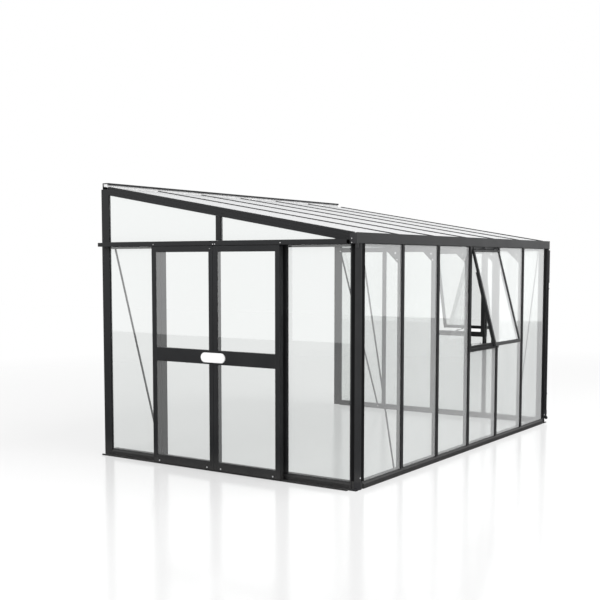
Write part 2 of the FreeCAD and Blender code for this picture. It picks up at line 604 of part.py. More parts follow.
def door_leaf(name, low, away, screws):
    """One leaf: away is the direction from the meeting line along the gable."""
    high = low + LEAF_WIDTH
    stiles = []
    for start, groove in ((low, low + STILE - GROOVE_DEPTH), (high - STILE, high - STILE)):
        height = (LEAF_FOOT, LEAF_HEAD)
        stile = block(doors, (start, start + STILE), LEAF, height)
        stile = stile.cut(block(doors, (groove, groove + GROOVE_DEPTH), DOOR_GROOVE, height))
        stiles.append(stile.cut(block(doors, (start + 3, start + STILE - 3), DOOR_ROOM, height)))
    save(name + "_door_stiles", stiles)

    hangers = [hanger(low + HANGER_INSET), hanger(high - HANGER_INSET)]
    heads = [screw(doors, across, LEAF[0], level, radius) for across, level, radius in screws]
    save(name + "_door_hangers", hangers + heads)
    save(name + "_door_roller_a", roller(low + HANGER_INSET))
    save(name + "_door_roller_b", roller(high - HANGER_INSET))

    between = (low + STILE, high - STILE)
    rails = []
    for foot, head in RAILS:
        rail = block(doors, between, LEAF, (foot, head))
        rail = rail.cut(block(doors, between, DOOR_ROOM, (foot + WALLED, head - WALLED)))
        if foot > LEAF_FOOT:
            rail = rail.cut(block(doors, between, DOOR_GROOVE, (foot, foot + GROOVE_DEPTH)))
        if head < LEAF_HEAD:
            rail = rail.cut(block(doors, between, DOOR_GROOVE, (head - GROOVE_DEPTH, head)))
        else:
            rail = rail.cut(hangers[0]).cut(hangers[1])
        rails.append(rail)
    save(name + "_door_rails", rails)

    glass = (low + STILE - 7, high - STILE + 7)
    lower = block(doors, glass, DOOR_GLASS, (RAILS[0][1] - 7, RAILS[1][0] + 7))
    upper = block(doors, glass, DOOR_GLASS, (RAILS[1][1] - 7, RAILS[2][0] + 7))
    save(name + "_door_glass", [lower, upper])

    save(name + "_door_guides", [door_guide(low + GUIDE_INSET), door_guide(high - GUIDE_INSET)])

    radius = (HANDLE[1] - HANDLE[0]) / 2
    centre = MEETING + away * (HANDLE_REACH - radius)
    inner = MEETING + away * HANDLE_GAP
    plate = block(doors, sorted((inner, centre)), (LEAF[0] - 10, LEAF[0]), HANDLE)
    level = (HANDLE[0] + HANDLE[1]) / 2
    plate = plate.fuse(rod(doors(centre, LEAF[0], level), doors(centre, LEAF[0] - 10, level), radius))
    plate = plate.removeSplitter()
    rim = [e for e in plate.Edges if abs(e.BoundBox.XMax + GABLE - LEAF[0] + 10) < 0.01
           and abs(e.BoundBox.Center.y - FRONT - inner) > 1]
    save(name + "_door_handle", [plate.makeFillet(4, rim)])


door_leaf("left", MEETING + 2, 1, ((1378, LEAF_SCREW, 6), (1889, LEAF_SCREW, 6), (1335, 1790.5, 3)))
door_leaf("right", MEETING - 2 - LEAF_WIDTH, -1, ((724, LEAF_SCREW, 6), (1238, LEAF_SCREW, 6)))

# Top-hung windows, one in the front and one in the far gable

WINDOWS = {"front": (on_front(BAY * WINDOW_BAY - HALF + BAY / 2), V(-1, 0, 0), EAVES),
           "far": (on_gable(FAR, (GABLE_BARS[0] + GABLE_BARS[1]) / 2), V(0, -1, 0), LIP_BOTTOM)}
HINGE = (-6.0, 1800.0)   # hinge line, inward and up
HINGE_ROD = 3.0
KNUCKLE = 6.0
SASH = 286.0             # half the width of a sash
SASH_STILE = 24.0
SASH_FACE = (-14.0, 6.0)
SASH_FOOT = 920.0
SASH_HEAD = 1790.0
SASH_BOTTOM_RAIL = 30.0
SASH_TOP_RAIL = 14.0
FLANGE_TOP = 1592.0      # top of the deeper flange inside the stiles
SASH_GLASS = (-6.0, -2.0)
SILL_OUTER = [(0, 885), (SKIN, 885), (SKIN, 893), (GROOVE, 893), (GROOVE, 914.5), (0, 910)]
SILL_INNER = [(GROOVE, 880), (BAR_BACK, 880), (BAR_BACK, 932), (20, 932), (20, 914.5), (GROOVE, 914.5)]
SIDE_TRIM = 8.0          # how far the trims beside a window stand out from the caps
SIDE_TRIM_ENDS = (885.0, 1818.0)
INNER_JAMB = 22.0        # width of the box inside each bar of a window
STAY_PIVOT = (12.0, 940.0)
STAY_BAR = 348.0
STAY_SLOT = (14.0, 315.0)
STAY_TIP = 339.0
STAY_PIN = 34.0          # the pin on the sill, inward

fixed_rails = []
hinges = []
pins = []


def window(name, place, axis, head_top):
    sill = run(place, SILL_OUTER, -293, 293).fuse(run(place, SILL_INNER, -299, 299)).removeSplitter()
    fixed_rails.append(sill)
    fixed_rails.append(block(place, (-295, 295), (8.5, 17.5), (1780, head_top)))
    for side in (-1, 1):
        bar = side * BAY / 2
        trim = (bar - CAP_HALF, bar + CAP_HALF)
        fixed_rails.append(block(place, trim, (-SIDE_TRIM, 0), SIDE_TRIM_ENDS))
        jamb = sorted((bar - side * BAR, bar - side * (BAR + INNER_JAMB)))
        box = block(place, jamb, (BOX, BAR_BACK), (932, HEAD))
        room = block(place, (jamb[0] + 3, jamb[1] - 3), (BOX + WALLED, BAR_BACK - WALLED), (932, HEAD))
        fixed_rails.append(box.cut(room))

    hinge = rod(place(-262, *HINGE), place(262, *HINGE), HINGE_ROD)
    for start, end in ((-262, -240), (-20, 20), (240, 262)):
        hinge = hinge.fuse(rod(place(start, *HINGE), place(end, *HINGE), KNUCKLE))
        hinge = hinge.fuse(block(place, (start, end), (-8, -4), (HINGE[1], HINGE[1] + 16)))
        hinge = hinge.fuse(block(place, (start, end), (-8, 8.5), (HINGE[1] + 12, HINGE[1] + 16)))
    hinges.append(hinge.removeSplitter())

    inner = SASH - SASH_STILE
    opening = block(place, (-inner - 5, inner + 5), (SASH_GLASS[0] - 0.5, SASH_GLASS[1] + 0.5),
                    (SASH_FOOT + SASH_BOTTOM_RAIL - 5, SASH_HEAD - SASH_TOP_RAIL + 5))
    frame = []
    for start in (-SASH, inner):
        stile = block(place, (start, start + SASH_STILE), SASH_FACE, (SASH_FOOT, SASH_HEAD))
        flange = block(place, (start, start + SASH_STILE), (SASH_FACE[1], 16), (SASH_FOOT, FLANGE_TOP))
        frame.append(stile.fuse(flange).removeSplitter().cut(opening))
    top_rail = block(place, (-inner, inner), SASH_FACE, (SASH_HEAD - SASH_TOP_RAIL, SASH_HEAD))
    top_rail = top_rail.cut(opening)
    for start in (-230, 170):
        knuckle = rod(place(start, *HINGE), place(start + 60, *HINGE), KNUCKLE)
        knuckle = knuckle.fuse(block(place, (start, start + 60), (-9, -3), (SASH_HEAD, HINGE[1])))
        bore = rod(place(start, *HINGE), place(start + 60, *HINGE), HINGE_ROD + 0.08)
        top_rail = top_rail.fuse(knuckle).cut(bore)
    bottom_rail = block(place, (-inner, inner), SASH_FACE, (SASH_FOOT, SASH_FOOT + SASH_BOTTOM_RAIL))
    bottom_rail = bottom_rail.cut(opening)
    for start in (-13.5, 10.5):
        bottom_rail = bottom_rail.fuse(block(place, (start, start + 3), (SASH_FACE[1], 18), (932, 948)))
    bottom_rail = bottom_rail.fuse(rod(place(-13.5, *STAY_PIVOT), place(13.5, *STAY_PIVOT), 2.5))
    frame += [top_rail, bottom_rail]
    pane = block(place, (-inner - 4, inner + 4), SASH_GLASS,
                 (SASH_FOOT + SASH_BOTTOM_RAIL - 4, SASH_HEAD - SASH_TOP_RAIL + 4))

    def along(distance, across=0.0, up=0.0):
        return place(across, STAY_PIVOT[0] + distance, STAY_PIVOT[1] + up)

    stay = block(place, (-9, 9), (STAY_PIVOT[0], STAY_PIVOT[0] + STAY_BAR), (938.5, 941.5))
    stay = stay.fuse(rod(along(0, -10), along(0, 10), 5))
    stay = stay.cut(rod(along(0, -11), along(0, 11), 2.55))
    slot = block(place, (-3.5, 3.5), (STAY_PIVOT[0] + STAY_SLOT[0], STAY_PIVOT[0] + STAY_SLOT[1]), (938, 942))
    stay = stay.cut(slot).fuse(rod(along(STAY_TIP), along(STAY_TIP, up=-21.5), 4))

    hinge_point = place(0, *HINGE)
    closed_pivot = place(0, *STAY_PIVOT)
    open_pivot = Part.Vertex(closed_pivot)
    for shape in frame + [pane, open_pivot]:
        shape.rotate(hinge_point, axis, WINDOW_OPEN)
    stay.rotate(closed_pivot, axis, WINDOW_OPEN * STAY_SHARE)
    stay.translate(open_pivot.Point - closed_pivot)
    save(name + "_sash_frame", frame)
    save(name + "_sash_glass", [pane])
    save(name + "_stay", [stay])
    print(name, "window: hinge", hinge_point, "stay pivot", open_pivot.Point)

    shank = rod(place(0, STAY_PIN, 932), place(0, STAY_PIN, 952), 3)
    pins.append(shank.fuse(rod(place(0, STAY_PIN, 952), place(0, STAY_PIN, 955), 5.5)))


for name, (place, axis, head_top) in WINDOWS.items():
    window(name, place, axis, head_top)
save("window_fixed_rails", fixed_rails)
save("window_hinges", hinges)

# Screws that show on the frame, and the stay pins

screws = []
for across, level in ((652, 1830.5), (1284, 1825.5), (1304, 1825.5), (1934, 1828)):
    screws.append(screw(doors, across, LEAF[0], level, 4))
for side in (NEAR, FAR):
    for level in (1826, 1856):
        screws.append(screw(gable[side], 44.5, GABLE - GUTTER_HALF - 3, level, 4, 2))
    on_round = screw(on_front(side * (GABLE - 28)), 0, 4, 88, 6, 5.5)
    screws.append(on_round.cut(corner_posts[side]))
for foot, head in FRONT_BRACES:
    for across, level in (foot, head):
        screws.append(screw(front, across, BRACE[1] + 3, level, 6, 3))
for side in (NEAR, FAR):
    for across, level in GABLE_BRACE:
        screws.append(screw(gable[side], across, BRACE[1] + 3, level, 6, 3))
save("frame_fasteners", screws + pins)
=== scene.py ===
import math

import bmesh
import bpy
from mathutils import Matrix, Vector


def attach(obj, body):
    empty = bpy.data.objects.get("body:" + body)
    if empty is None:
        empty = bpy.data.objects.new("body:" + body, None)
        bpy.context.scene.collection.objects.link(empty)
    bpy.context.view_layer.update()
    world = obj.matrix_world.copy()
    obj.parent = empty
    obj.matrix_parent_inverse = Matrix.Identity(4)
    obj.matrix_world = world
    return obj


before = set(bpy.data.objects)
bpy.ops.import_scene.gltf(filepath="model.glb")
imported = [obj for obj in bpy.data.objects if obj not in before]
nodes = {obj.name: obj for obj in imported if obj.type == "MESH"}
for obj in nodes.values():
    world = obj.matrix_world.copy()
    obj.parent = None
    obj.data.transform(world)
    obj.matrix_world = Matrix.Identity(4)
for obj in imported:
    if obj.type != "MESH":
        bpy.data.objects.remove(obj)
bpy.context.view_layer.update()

# Studio: the greenhouse stands on a pale, faintly polished floor under wide soft lamps, and is
# seen from beyond the door gable, from a little below the eaves.

camera = bpy.data.cameras.new("camera")
camera.sensor_width = 36.0
camera.lens = 60.70
camera.shift_x = 0.0045
camera.shift_y = 0.0717
camera.clip_end = 200.0
viewer = bpy.data.objects.new("camera", camera)
viewer.location = (-8.2626, -3.7945, 1.6832)
viewer.rotation_euler = (math.radians(85.4325), 0.0, math.radians(-55.8166))
bpy.context.scene.collection.objects.link(viewer)
bpy.context.scene.camera = viewer
bpy.context.scene.view_settings.view_transform = "Standard"


def part_of(tree, kind, inputs=None, **settings):
    """A node of a tree, with its settings and its inputs given as values or as sockets to link."""
    made = tree.nodes.new(kind)
    for name, value in settings.items():
        setattr(made, name, value)
    for name, value in (inputs or {}).items():
        if isinstance(value, bpy.types.NodeSocket):
            tree.links.new(value, made.inputs[name])
        else:
            made.inputs[name].default_value = value
    return made


def new_surface(name):
    """An empty material and its node tree."""
    surface = bpy.data.materials.new(name)
    surface.use_nodes = True
    surface.node_tree.nodes.clear()
    return surface, surface.node_tree


WHITE = (1.0, 1.0, 1.0, 1.0)
FLOOR_PALE = (0.62, 0.62, 0.62, 1.0)      # what the floor throws back on the greenhouse
FLOOR_IN_PANES = (0.08, 0.08, 0.08, 1.0)
FLOOR_SHADED = (0.34, 0.34, 0.34, 1.0)    # the part of the seen floor that takes shadows
FLOOR_LIFT = 0.58                         # its own glow, the same in light and shadow
FLOOR_POLISH = 0.21
FLOOR_ROUGHNESS = 0.15
FADE_FROM = 4.0                           # the floor turns to white between these distances
FADE_TO = 11.0


def studio_floor():
    """Matt and pale for the light, lifted to white for the eye, and dull in the panes."""
    surface, tree = new_surface("studio_floor")
    path = part_of(tree, "ShaderNodeLightPath")
    pale = part_of(tree, "ShaderNodeBsdfDiffuse", {"Color": FLOOR_PALE})
    dull = part_of(tree, "ShaderNodeBsdfDiffuse", {"Color": FLOOR_IN_PANES})
    matt = part_of(tree, "ShaderNodeMixShader",
                   {0: path.outputs["Is Glossy Ray"], 1: pale.outputs[0], 2: dull.outputs[0]})
    soft = part_of(tree, "ShaderNodeBsdfDiffuse", {"Color": FLOOR_SHADED})
    lift = part_of(tree, "ShaderNodeEmission", {"Color": WHITE, "Strength": FLOOR_LIFT})
    near = part_of(tree, "ShaderNodeAddShader", {0: soft.outputs[0], 1: lift.outputs[0]})
    place = part_of(tree, "ShaderNodeTexCoord").outputs["Object"]
    away = part_of(tree, "ShaderNodeVectorMath", {0: place}, operation="LENGTH").outputs["Value"]
    faded = part_of(tree, "ShaderNodeMapRange", {"Value": away, "From Min": FADE_FROM, "From Max": FADE_TO})
    white = part_of(tree, "ShaderNodeEmission", {"Color": WHITE, "Strength": 1.0})
    lit = part_of(tree, "ShaderNodeMixShader",
                  {0: faded.outputs[0], 1: near.outputs[0], 2: white.outputs[0]})
    sheen = part_of(tree, "ShaderNodeBsdfGlossy", {"Color": WHITE, "Roughness": FLOOR_ROUGHNESS})
    polished = part_of(tree, "ShaderNodeMixShader",
                       {0: FLOOR_POLISH, 1: lit.outputs[0], 2: sheen.outputs[0]})
    seen = part_of(tree, "ShaderNodeMixShader",
                   {0: path.outputs["Is Camera Ray"], 1: matt.outputs[0], 2: polished.outputs[0]})
    out = part_of(tree, "ShaderNodeOutputMaterial")
    tree.links.new(seen.outputs[0], out.inputs["Surface"])
    return surface


FLOOR_X = (-13.5, 19.4)
FLOOR_Y = (-40.0, 40.0)
FLOOR_GAP = 0.0005        # the floor lies just clear of the rails' undersides
floor_mesh = bpy.data.meshes.new("studio_floor")
floor_mesh.from_pydata([(FLOOR_X[0], FLOOR_Y[0], 0.0), (FLOOR_X[1], FLOOR_Y[0], 0.0),
                        (FLOOR_X[1], FLOOR_Y[1], 0.0), (FLOOR_X[0], FLOOR_Y[1], 0.0)], [], [(0, 1, 2, 3)])
floor_mesh.materials.append(studio_floor())
floor = bpy.data.objects.new("studio_floor", floor_mesh)
floor.location.z = -FLOOR_GAP
bpy.context.scene.collection.objects.link(floor)

ROOM_LIGHT = 0.60
world = bpy.data.worlds.new("studio")
bpy.context.scene.world = world
world.use_nodes = True
world.node_tree.nodes.clear()
rays = part_of(world.node_tree, "ShaderNodeLightPath")
mirrored = part_of(world.node_tree, "ShaderNodeMath",
                   {0: rays.outputs["Is Camera Ray"], 1: rays.outputs["Is Glossy Ray"]}, operation="MAXIMUM")
shown = part_of(world.node_tree, "ShaderNodeMath",
                {0: mirrored.outputs[0], 1: rays.outputs["Is Transmission Ray"]}, operation="MAXIMUM")
dim = part_of(world.node_tree, "ShaderNodeBackground", {"Color": WHITE, "Strength": ROOM_LIGHT})
white = part_of(world.node_tree, "ShaderNodeBackground", {"Color": WHITE, "Strength": 1.0})
sky = part_of(world.node_tree, "ShaderNodeMixShader",
              {0: shown.outputs[0], 1: dim.outputs[0], 2: white.outputs[0]})
sky_out = part_of(world.node_tree, "ShaderNodeOutputWorld")
world.node_tree.links.new(sky.outputs[0], sky_out.inputs["Surface"])

LAMPS = (("lamp_over", (1.5, -4.0, 8.0), 8.0, 700.0),    # name, place, width, power
         ("lamp_front", (-3.0, -10.0, 5.0), 6.0, 420.0),
         ("lamp_side", (-11.0, 3.0, 5.5), 5.0, 700.0))
LAMP_AIM = Vector((0.0, 1.0, 1.0))
for name, place, size, power in LAMPS:
    lamp = bpy.data.lights.new(name, "AREA")
    lamp.shape = "DISK"
    lamp.size = size
    lamp.energy = power
    stand = bpy.data.objects.new(name, lamp)
    stand.location = place
    stand.rotation_euler = (LAMP_AIM - stand.location).to_track_quat("-Z", "Y").to_euler()
    stand.visible_glossy = False
    bpy.context.scene.collection.objects.link(stand)

# Base rails, corner posts and wall posts: aluminium extrusions with a satin anthracite powder
# coat, cut square, pushed into each other and screwed, and bolted to the wall at the back.


def finish(surface, tree, shader):
    """The surface, with the shader led to its outlet."""
    out = part_of(tree, "ShaderNodeOutputMaterial")
    tree.links.new(shader.outputs[0], out.inputs["Surface"])
    return surface


def grain(tree, scale, detail=2.0, stretch=(1.0, 1.0, 1.0)):
    """Noise over the piece, in cells of 1/scale metres, drawn out by stretch."""
    place = part_of(tree, "ShaderNodeTexCoord").outputs["Object"]
    if stretch != (1.0, 1.0, 1.0):
        place = part_of(tree, "ShaderNodeMapping", {"Vector": place, "Scale": stretch}).outputs[0]
    noise = part_of(tree, "ShaderNodeTexNoise", {"Vector": place, "Scale": scale, "Detail": detail})
    return noise.outputs[0]


def between(tree, value, low, high, start=0.3, end=0.7):
    """A value carried from the range start to end, the middle of noise, into low to high."""
    return part_of(tree, "ShaderNodeMapRange", {"Value": value, "From Min": start, "From Max": end,
                                                "To Min": low, "To Max": high}).outputs[0]


def blend_colours(tree, share, first, second):
    """The first colour giving way to the second as the share grows."""
    mixed = part_of(tree, "ShaderNodeMix", {0: share}, data_type="RGBA")
    for socket, colour in ((mixed.inputs[6], first), (mixed.inputs[7], second)):
        if isinstance(colour, bpy.types.NodeSocket):
            tree.links.new(colour, socket)
        else:
            socket.default_value = (*colour, 1.0)
    return mixed.outputs[2]


def bumps(tree, height, depth, strength):
    """Slopes for a shader from a height, as deep as given in metres."""
    raised = part_of(tree, "ShaderNodeBump", {"Height": height, "Distance": depth, "Strength": strength})
    return raised.outputs[0]


COAT_CLOUD = 5.0          # shades for each metre
COAT_PEEL = 900.0         # dimples
COAT_SPECK = 160.0        # specks of dust and wear
EDGE_ROUND = 0.0022       # the extrusions' edges are eased
# lighter eased edges: partly wear, partly a painted highlight where the edges catch the light
EDGE_WEAR_AND_HIGHLIGHT = (0.075, 0.076, 0.080)
EDGE_MARK_FULL, EDGE_MARK_NONE = 0.80, 0.97        # cosines of the lean across an eased edge
DUST = (0.20, 0.19, 0.18)
DUST_SHARE = 0.22         # at most, on the ground
SPLASH_HEIGHT = 0.16      # dust is splashed up to here
PEEL_DEPTH = 0.0004


def powder_coat(name, deep, light):
    """Baked powder: a fine orange peel, cloudy sheen, splashed dust near the ground, and light edges that are
    partly wear and partly painted highlight.
    """
    surface, tree = new_surface(name)
    cloud = grain(tree, COAT_CLOUD, 3.0)
    peel = grain(tree, COAT_PEEL, 1.0)
    speck = grain(tree, COAT_SPECK, 3.0)
    colour = blend_colours(tree, between(tree, cloud, 0.0, 1.0), deep, light)
    place = part_of(tree, "ShaderNodeTexCoord").outputs["Object"]
    height = part_of(tree, "ShaderNodeSeparateXYZ", {0: place}).outputs["Z"]
    low = between(tree, height, 1.0, 0.0, 0.0, SPLASH_HEIGHT)
    dusty = part_of(tree, "ShaderNodeMath", {0: low, 1: between(tree, speck, 0.0, DUST_SHARE)},
                    operation="MULTIPLY")
    colour = blend_colours(tree, dusty.outputs[0], colour, DUST)
    eased = part_of(tree, "ShaderNodeBevel", {"Radius": EDGE_ROUND}, samples=6).outputs[0]
    flat = part_of(tree, "ShaderNodeNewGeometry").outputs["Normal"]
    agree = part_of(tree, "ShaderNodeVectorMath", {0: eased, 1: flat}, operation="DOT_PRODUCT")
    # the eased edges are lightened: partly wear, partly a painted highlight
    edge = between(tree, agree.outputs["Value"], 0.7, 0.0, EDGE_MARK_FULL, EDGE_MARK_NONE)
    wear_and_highlight = part_of(tree, "ShaderNodeMath", {0: edge, 1: between(tree, speck, 0.35, 1.0)},
                   operation="MULTIPLY")
    colour = blend_colours(tree, wear_and_highlight.outputs[0], colour, EDGE_WEAR_AND_HIGHLIGHT)
    peeled = part_of(tree, "ShaderNodeBump", {"Height": peel, "Distance": PEEL_DEPTH, "Strength": 0.25,
                                              "Normal": eased}).outputs[0]
    coat = part_of(tree, "ShaderNodeBsdfPrincipled", {
        "Base Color": colour, "Roughness": between(tree, cloud, 0.33, 0.43), "Specular IOR Level": 0.25,
        "Normal": peeled})
    return finish(surface, tree, coat)


def dress(surface, *names):
    """Give CAD nodes their finish."""
    for name in names:
        nodes[name].data.materials.clear()
        nodes[name].data.materials.append(surface)


anthracite = powder_coat("anthracite_powder_coat", (0.013, 0.0135, 0.0145), (0.017, 0.0175, 0.0185))
dress(anthracite, "base_rail_front", "base_rail_far_gable", "threshold_rail", "wall_post_near",
      "wall_post_far")
# The corner posts get a lighter copy of the anthracite coat: painted light, standing in for the light their
# round edges catch.
painted_light_post_coat = powder_coat("round_post_painted_light_coat", (0.021, 0.0215, 0.0225), (0.026, 0.0265, 0.0275))
dress(painted_light_post_coat, "corner_post_near", "corner_post_far")

# Corner shoes: matt black moulded sleeves, pushed on at the foot of each corner post to close
# the joint with the rails.

PIT_DEPTH = 0.0003        # the mould's spark-eroded texture


def moulding(name, colour, roughness, texture=420.0, gloss=0.5):
    """Injection-moulded plastic with a fine spark-eroded texture."""
    surface, tree = new_surface(name)
    cloud = grain(tree, 14.0, 3.0)
    pits = grain(tree, texture, 2.0)
    shade = tuple(0.86 * part for part in colour)
    plastic = part_of(tree, "ShaderNodeBsdfPrincipled", {
        "Base Color": blend_colours(tree, between(tree, cloud, 0.0, 1.0), shade, colour),
        "Roughness": between(tree, pits, roughness - 0.06, roughness + 0.06), "Specular IOR Level": gloss,
        "Normal": bumps(tree, pits, PIT_DEPTH, 0.3)})
    return finish(surface, tree, plastic)


black_moulding = moulding("matt_moulding", (0.020, 0.020, 0.022), roughness=0.50)
dress(black_moulding, "corner_shoes")

# Corner post strips: near-black strips pressed into the recesses each side of a round edge, closing the joint
# between the post and the first panes.
# Their near-black colour is painted shade, standing in for the shadow deep in those recesses.

GABLE = 1.916             # outer face of each gable
FRONT = -0.030            # outer face of the front
rubber = moulding("matt_rubber", (0.016, 0.016, 0.017), roughness=0.72, texture=700.0)
# near-black strip colour: painted shade for the deep recesses of the corner posts
recess_shade_foam = moulding("recess_shade_black", (0.007, 0.007, 0.0073), roughness=0.90, texture=900.0, gloss=0.10)


def add_bar(shape, low, high):
    """One square bar, from its lowest to its highest corner."""
    size = [top - bottom for bottom, top in zip(low, high)]
    middle = [(bottom + top) / 2 for bottom, top in zip(low, high)]
    place = Matrix.Translation(middle) @ Matrix.Diagonal((*size, 1.0))
    bmesh.ops.create_cube(shape, size=1.0, matrix=place)


def fitted(name, mesh, surface, body):
    """Put a finished mesh on a body of the greenhouse."""
    mesh.name = name
    mesh.materials.clear()
    mesh.materials.append(surface)
    piece = bpy.data.objects.new(name, mesh)
    bpy.context.scene.collection.objects.link(piece)
    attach(piece, body)
    return piece


EASE = 0.0008             # the small bars' edges
THIN_EASE = 0.0004


def from_bars(name, bars, ease, surface, body):
    """Square bars with eased edges, as one piece."""
    shape = bmesh.new()
    for low, high in bars:
        add_bar(shape, low, high)
    bmesh.ops.bevel(shape, geom=shape.edges[:], offset=ease, segments=2, profile=0.5, affect="EDGES")
    bmesh.ops.recalc_face_normals(shape, faces=shape.faces)
    mesh = bpy.data.meshes.new(name)
    shape.to_mesh(mesh)
    shape.free()
    return fitted(name, mesh, surface, body)


# How far each strip lies in from the gable and in from the front, and its foot and head.
GABLE_STRIP = ((0.002, 0.006), (0.038, 0.0645), (0.064, 1.818))
FRONT_STRIP = ((0.038, 0.090), (0.0055, 0.009), (0.058, 1.820))
strips = []
for side in (-1, 1):
    for inward, back, up in (GABLE_STRIP, FRONT_STRIP):
        left, right = sorted(side * (GABLE - reach) for reach in inward)
        strips.append(((left, FRONT + back[0], up[0]), (right, FRONT + back[1], up[1])))
# the recess strips: painted shade, near black
from_bars("corner_recess_shade_strips", strips, EASE, recess_shade_foam, "frame")

# Glazing bars, door jambs, eaves beam, headers and upper bars: the same coated extrusions,
# screwed to the rails below and the beam above; flat caps clamp the panes against them.

dress(anthracite, "front_glazing_bars", "far_gable_bars", "door_jambs", "eaves_beam",
      "door_gable_header", "far_gable_header", "gable_upper_bars")

# Frame screws: dark steel screws with low round heads and a socket, driven through the caps,
# rails and rafters at their ends, square to the face that each one holds.

BAY = 0.62                # from one front grid line to the next
NEAR_LINE = -1.86         # the first of them, at the door gable
BAR_X = (-1.24, -0.62, 0.0, 0.62, 1.24)
FAR_BAR_Y = (0.660, 1.280, 1.900)
BAR_FOOT, BAR_MIDDLE, BAR_HEAD = 0.075, 0.93, 1.795       # screw levels on the bars
RAIL_SCREW_UP = 0.021
RAIL_SCREW_Y = (0.35, 0.97, 1.59, 2.20)
VERGE_SCREW_Y = (0.075, 2.435)
VERGE_SCREW_DROP = (0.012, 0.058)         # below the top of the sheets
WINDOW_X = (0.0, 0.62)                    # the windows' trims cover these bars' screws
FAR_WINDOW_Y = (0.660, 1.280)
ROOF_FOOT = 1.8964                        # top of the sheets over the front
ROOF_RISE = 0.1728                        # and its rise for each metre back
HEAD_TOP = 0.74                           # share of a head's radius left flat
SOCKET_DEPTH = 0.6                        # share of its height


def new_tree(name, sizes, surface):
    """A tree of geometry with its inlet, its named sizes, its finish and its outlet."""
    tree = bpy.data.node_groups.new(name, "GeometryNodeTree")
    tree.interface.new_socket("Start", in_out="INPUT", socket_type="NodeSocketGeometry")
    for label, value in sizes.items():
        size = tree.interface.new_socket(label, in_out="INPUT", socket_type="NodeSocketFloat")
        size.default_value = value
    tree.interface.new_socket("Shape", in_out="OUTPUT", socket_type="NodeSocketGeometry")
    inlet = tree.nodes.new("NodeGroupInput")
    real = tree.nodes.new("GeometryNodeRealizeInstances")
    finished = tree.nodes.new("GeometryNodeSetMaterial")
    finished.inputs["Material"].default_value = surface
    outlet = tree.nodes.new("NodeGroupOutput")
    tree.links.new(real.outputs[0], finished.inputs[0])
    tree.links.new(finished.outputs[0], outlet.inputs[0])
    return tree, inlet.outputs, real.inputs[0]


def socket_heads(name, surface):
    """A low domed head with a round socket, on every point."""
    tree, given, end = new_tree(name, {"Radius": 0.004, "Height": 0.002, "Socket": 0.5}, surface)
    top = part_of(tree, "ShaderNodeMath", {0: given["Radius"], 1: HEAD_TOP},
                  operation="MULTIPLY").outputs[0]
    head = part_of(tree, "GeometryNodeMeshCone", {"Vertices": 12, "Radius Top": top, "Depth": given["Height"],
                                                  "Radius Bottom": given["Radius"]}, fill_type="NGON")
    rim = part_of(tree, "GeometryNodeExtrudeMesh", {"Mesh": head.outputs["Mesh"], "Offset Scale": 0.0,
                                                    "Selection": head.outputs["Top"]}, mode="FACES")
    narrow = part_of(tree, "GeometryNodeScaleElements", {
        "Geometry": rim.outputs["Mesh"], "Scale": given["Socket"], "Selection": rim.outputs["Top"]},
                     domain="FACE")
    depth = part_of(tree, "ShaderNodeMath", {0: given["Height"], 1: -SOCKET_DEPTH},
                    operation="MULTIPLY").outputs[0]
    pit = part_of(tree, "GeometryNodeExtrudeMesh", {"Mesh": narrow.outputs[0], "Offset Scale": depth,
                                                    "Selection": rim.outputs["Top"]}, mode="FACES")
    facing = part_of(tree, "GeometryNodeInputNamedAttribute", {"Name": "facing"}, data_type="FLOAT_VECTOR")
    turn = part_of(tree, "FunctionNodeAlignRotationToVector", {"Vector": facing.outputs[0]}, axis="Z")
    set_on = part_of(tree, "GeometryNodeInstanceOnPoints", {
        "Points": given["Start"], "Instance": pit.outputs[0], "Rotation": turn.outputs[0]})
    tree.links.new(set_on.outputs[0], end)
    return tree


def grown(name, start, tree, sizes, surface, body):
    """The plain mesh that a tree makes from points or lines, as one piece on one body."""
    holder = bpy.data.objects.new(name + "_start", start)
    bpy.context.scene.collection.objects.link(holder)
    maker = holder.modifiers.new("maker", "NODES")
    maker.node_group = tree
    for item in tree.interface.items_tree:
        if item.in_out == "INPUT" and item.name in sizes:
            maker[item.identifier] = sizes[item.name]
    made = holder.evaluated_get(bpy.context.evaluated_depsgraph_get())
    mesh = bpy.data.meshes.new_from_object(made)
    holder.modifiers.remove(maker)
    bpy.data.objects.remove(holder)
    return fitted(name, mesh, surface, body)


def marked_points(name, marks):
    """Points that each carry the way they face."""
    points = bpy.data.meshes.new(name)
    points.from_pydata([place for place, way in marks], [], [])
    facing = points.attributes.new("facing", "FLOAT_VECTOR", "POINT")
    facing.data.foreach_set("vector", [number for place, way in marks for number in way])
    return points


def roof_line(y, drop):
    """The height of a point so far below the top of the sheets."""
    return ROOF_FOOT + ROOF_RISE * (y - FRONT) - drop


OUT_FRONT = (0.0, -1.0, 0.0)
OUT_GABLE = {-1: (-1.0, 0.0, 0.0), 1: (1.0, 0.0, 0.0)}
dark_screw = moulding("dark_screw", (0.030, 0.030, 0.032), roughness=0.34, texture=500.0)
heads = socket_heads("socket_heads", dark_screw)
marks = []
for x in BAR_X:
    levels = (BAR_FOOT,) if x in WINDOW_X else (BAR_FOOT, BAR_MIDDLE, BAR_HEAD)
    marks += [((x, FRONT, level), OUT_FRONT) for level in levels]
for y in FAR_BAR_Y:
    levels = (BAR_FOOT,) if y in FAR_WINDOW_Y else (BAR_FOOT, BAR_HEAD)
    marks += [((GABLE, y, level), OUT_GABLE[1]) for level in levels]
for side in (-1, 1):
    for y in VERGE_SCREW_Y:
        for drop in VERGE_SCREW_DROP:
            marks.append(((side * GABLE, y, roof_line(y, drop)), OUT_GABLE[side]))
marks += [((GABLE, y, RAIL_SCREW_UP), OUT_GABLE[1]) for y in RAIL_SCREW_Y]
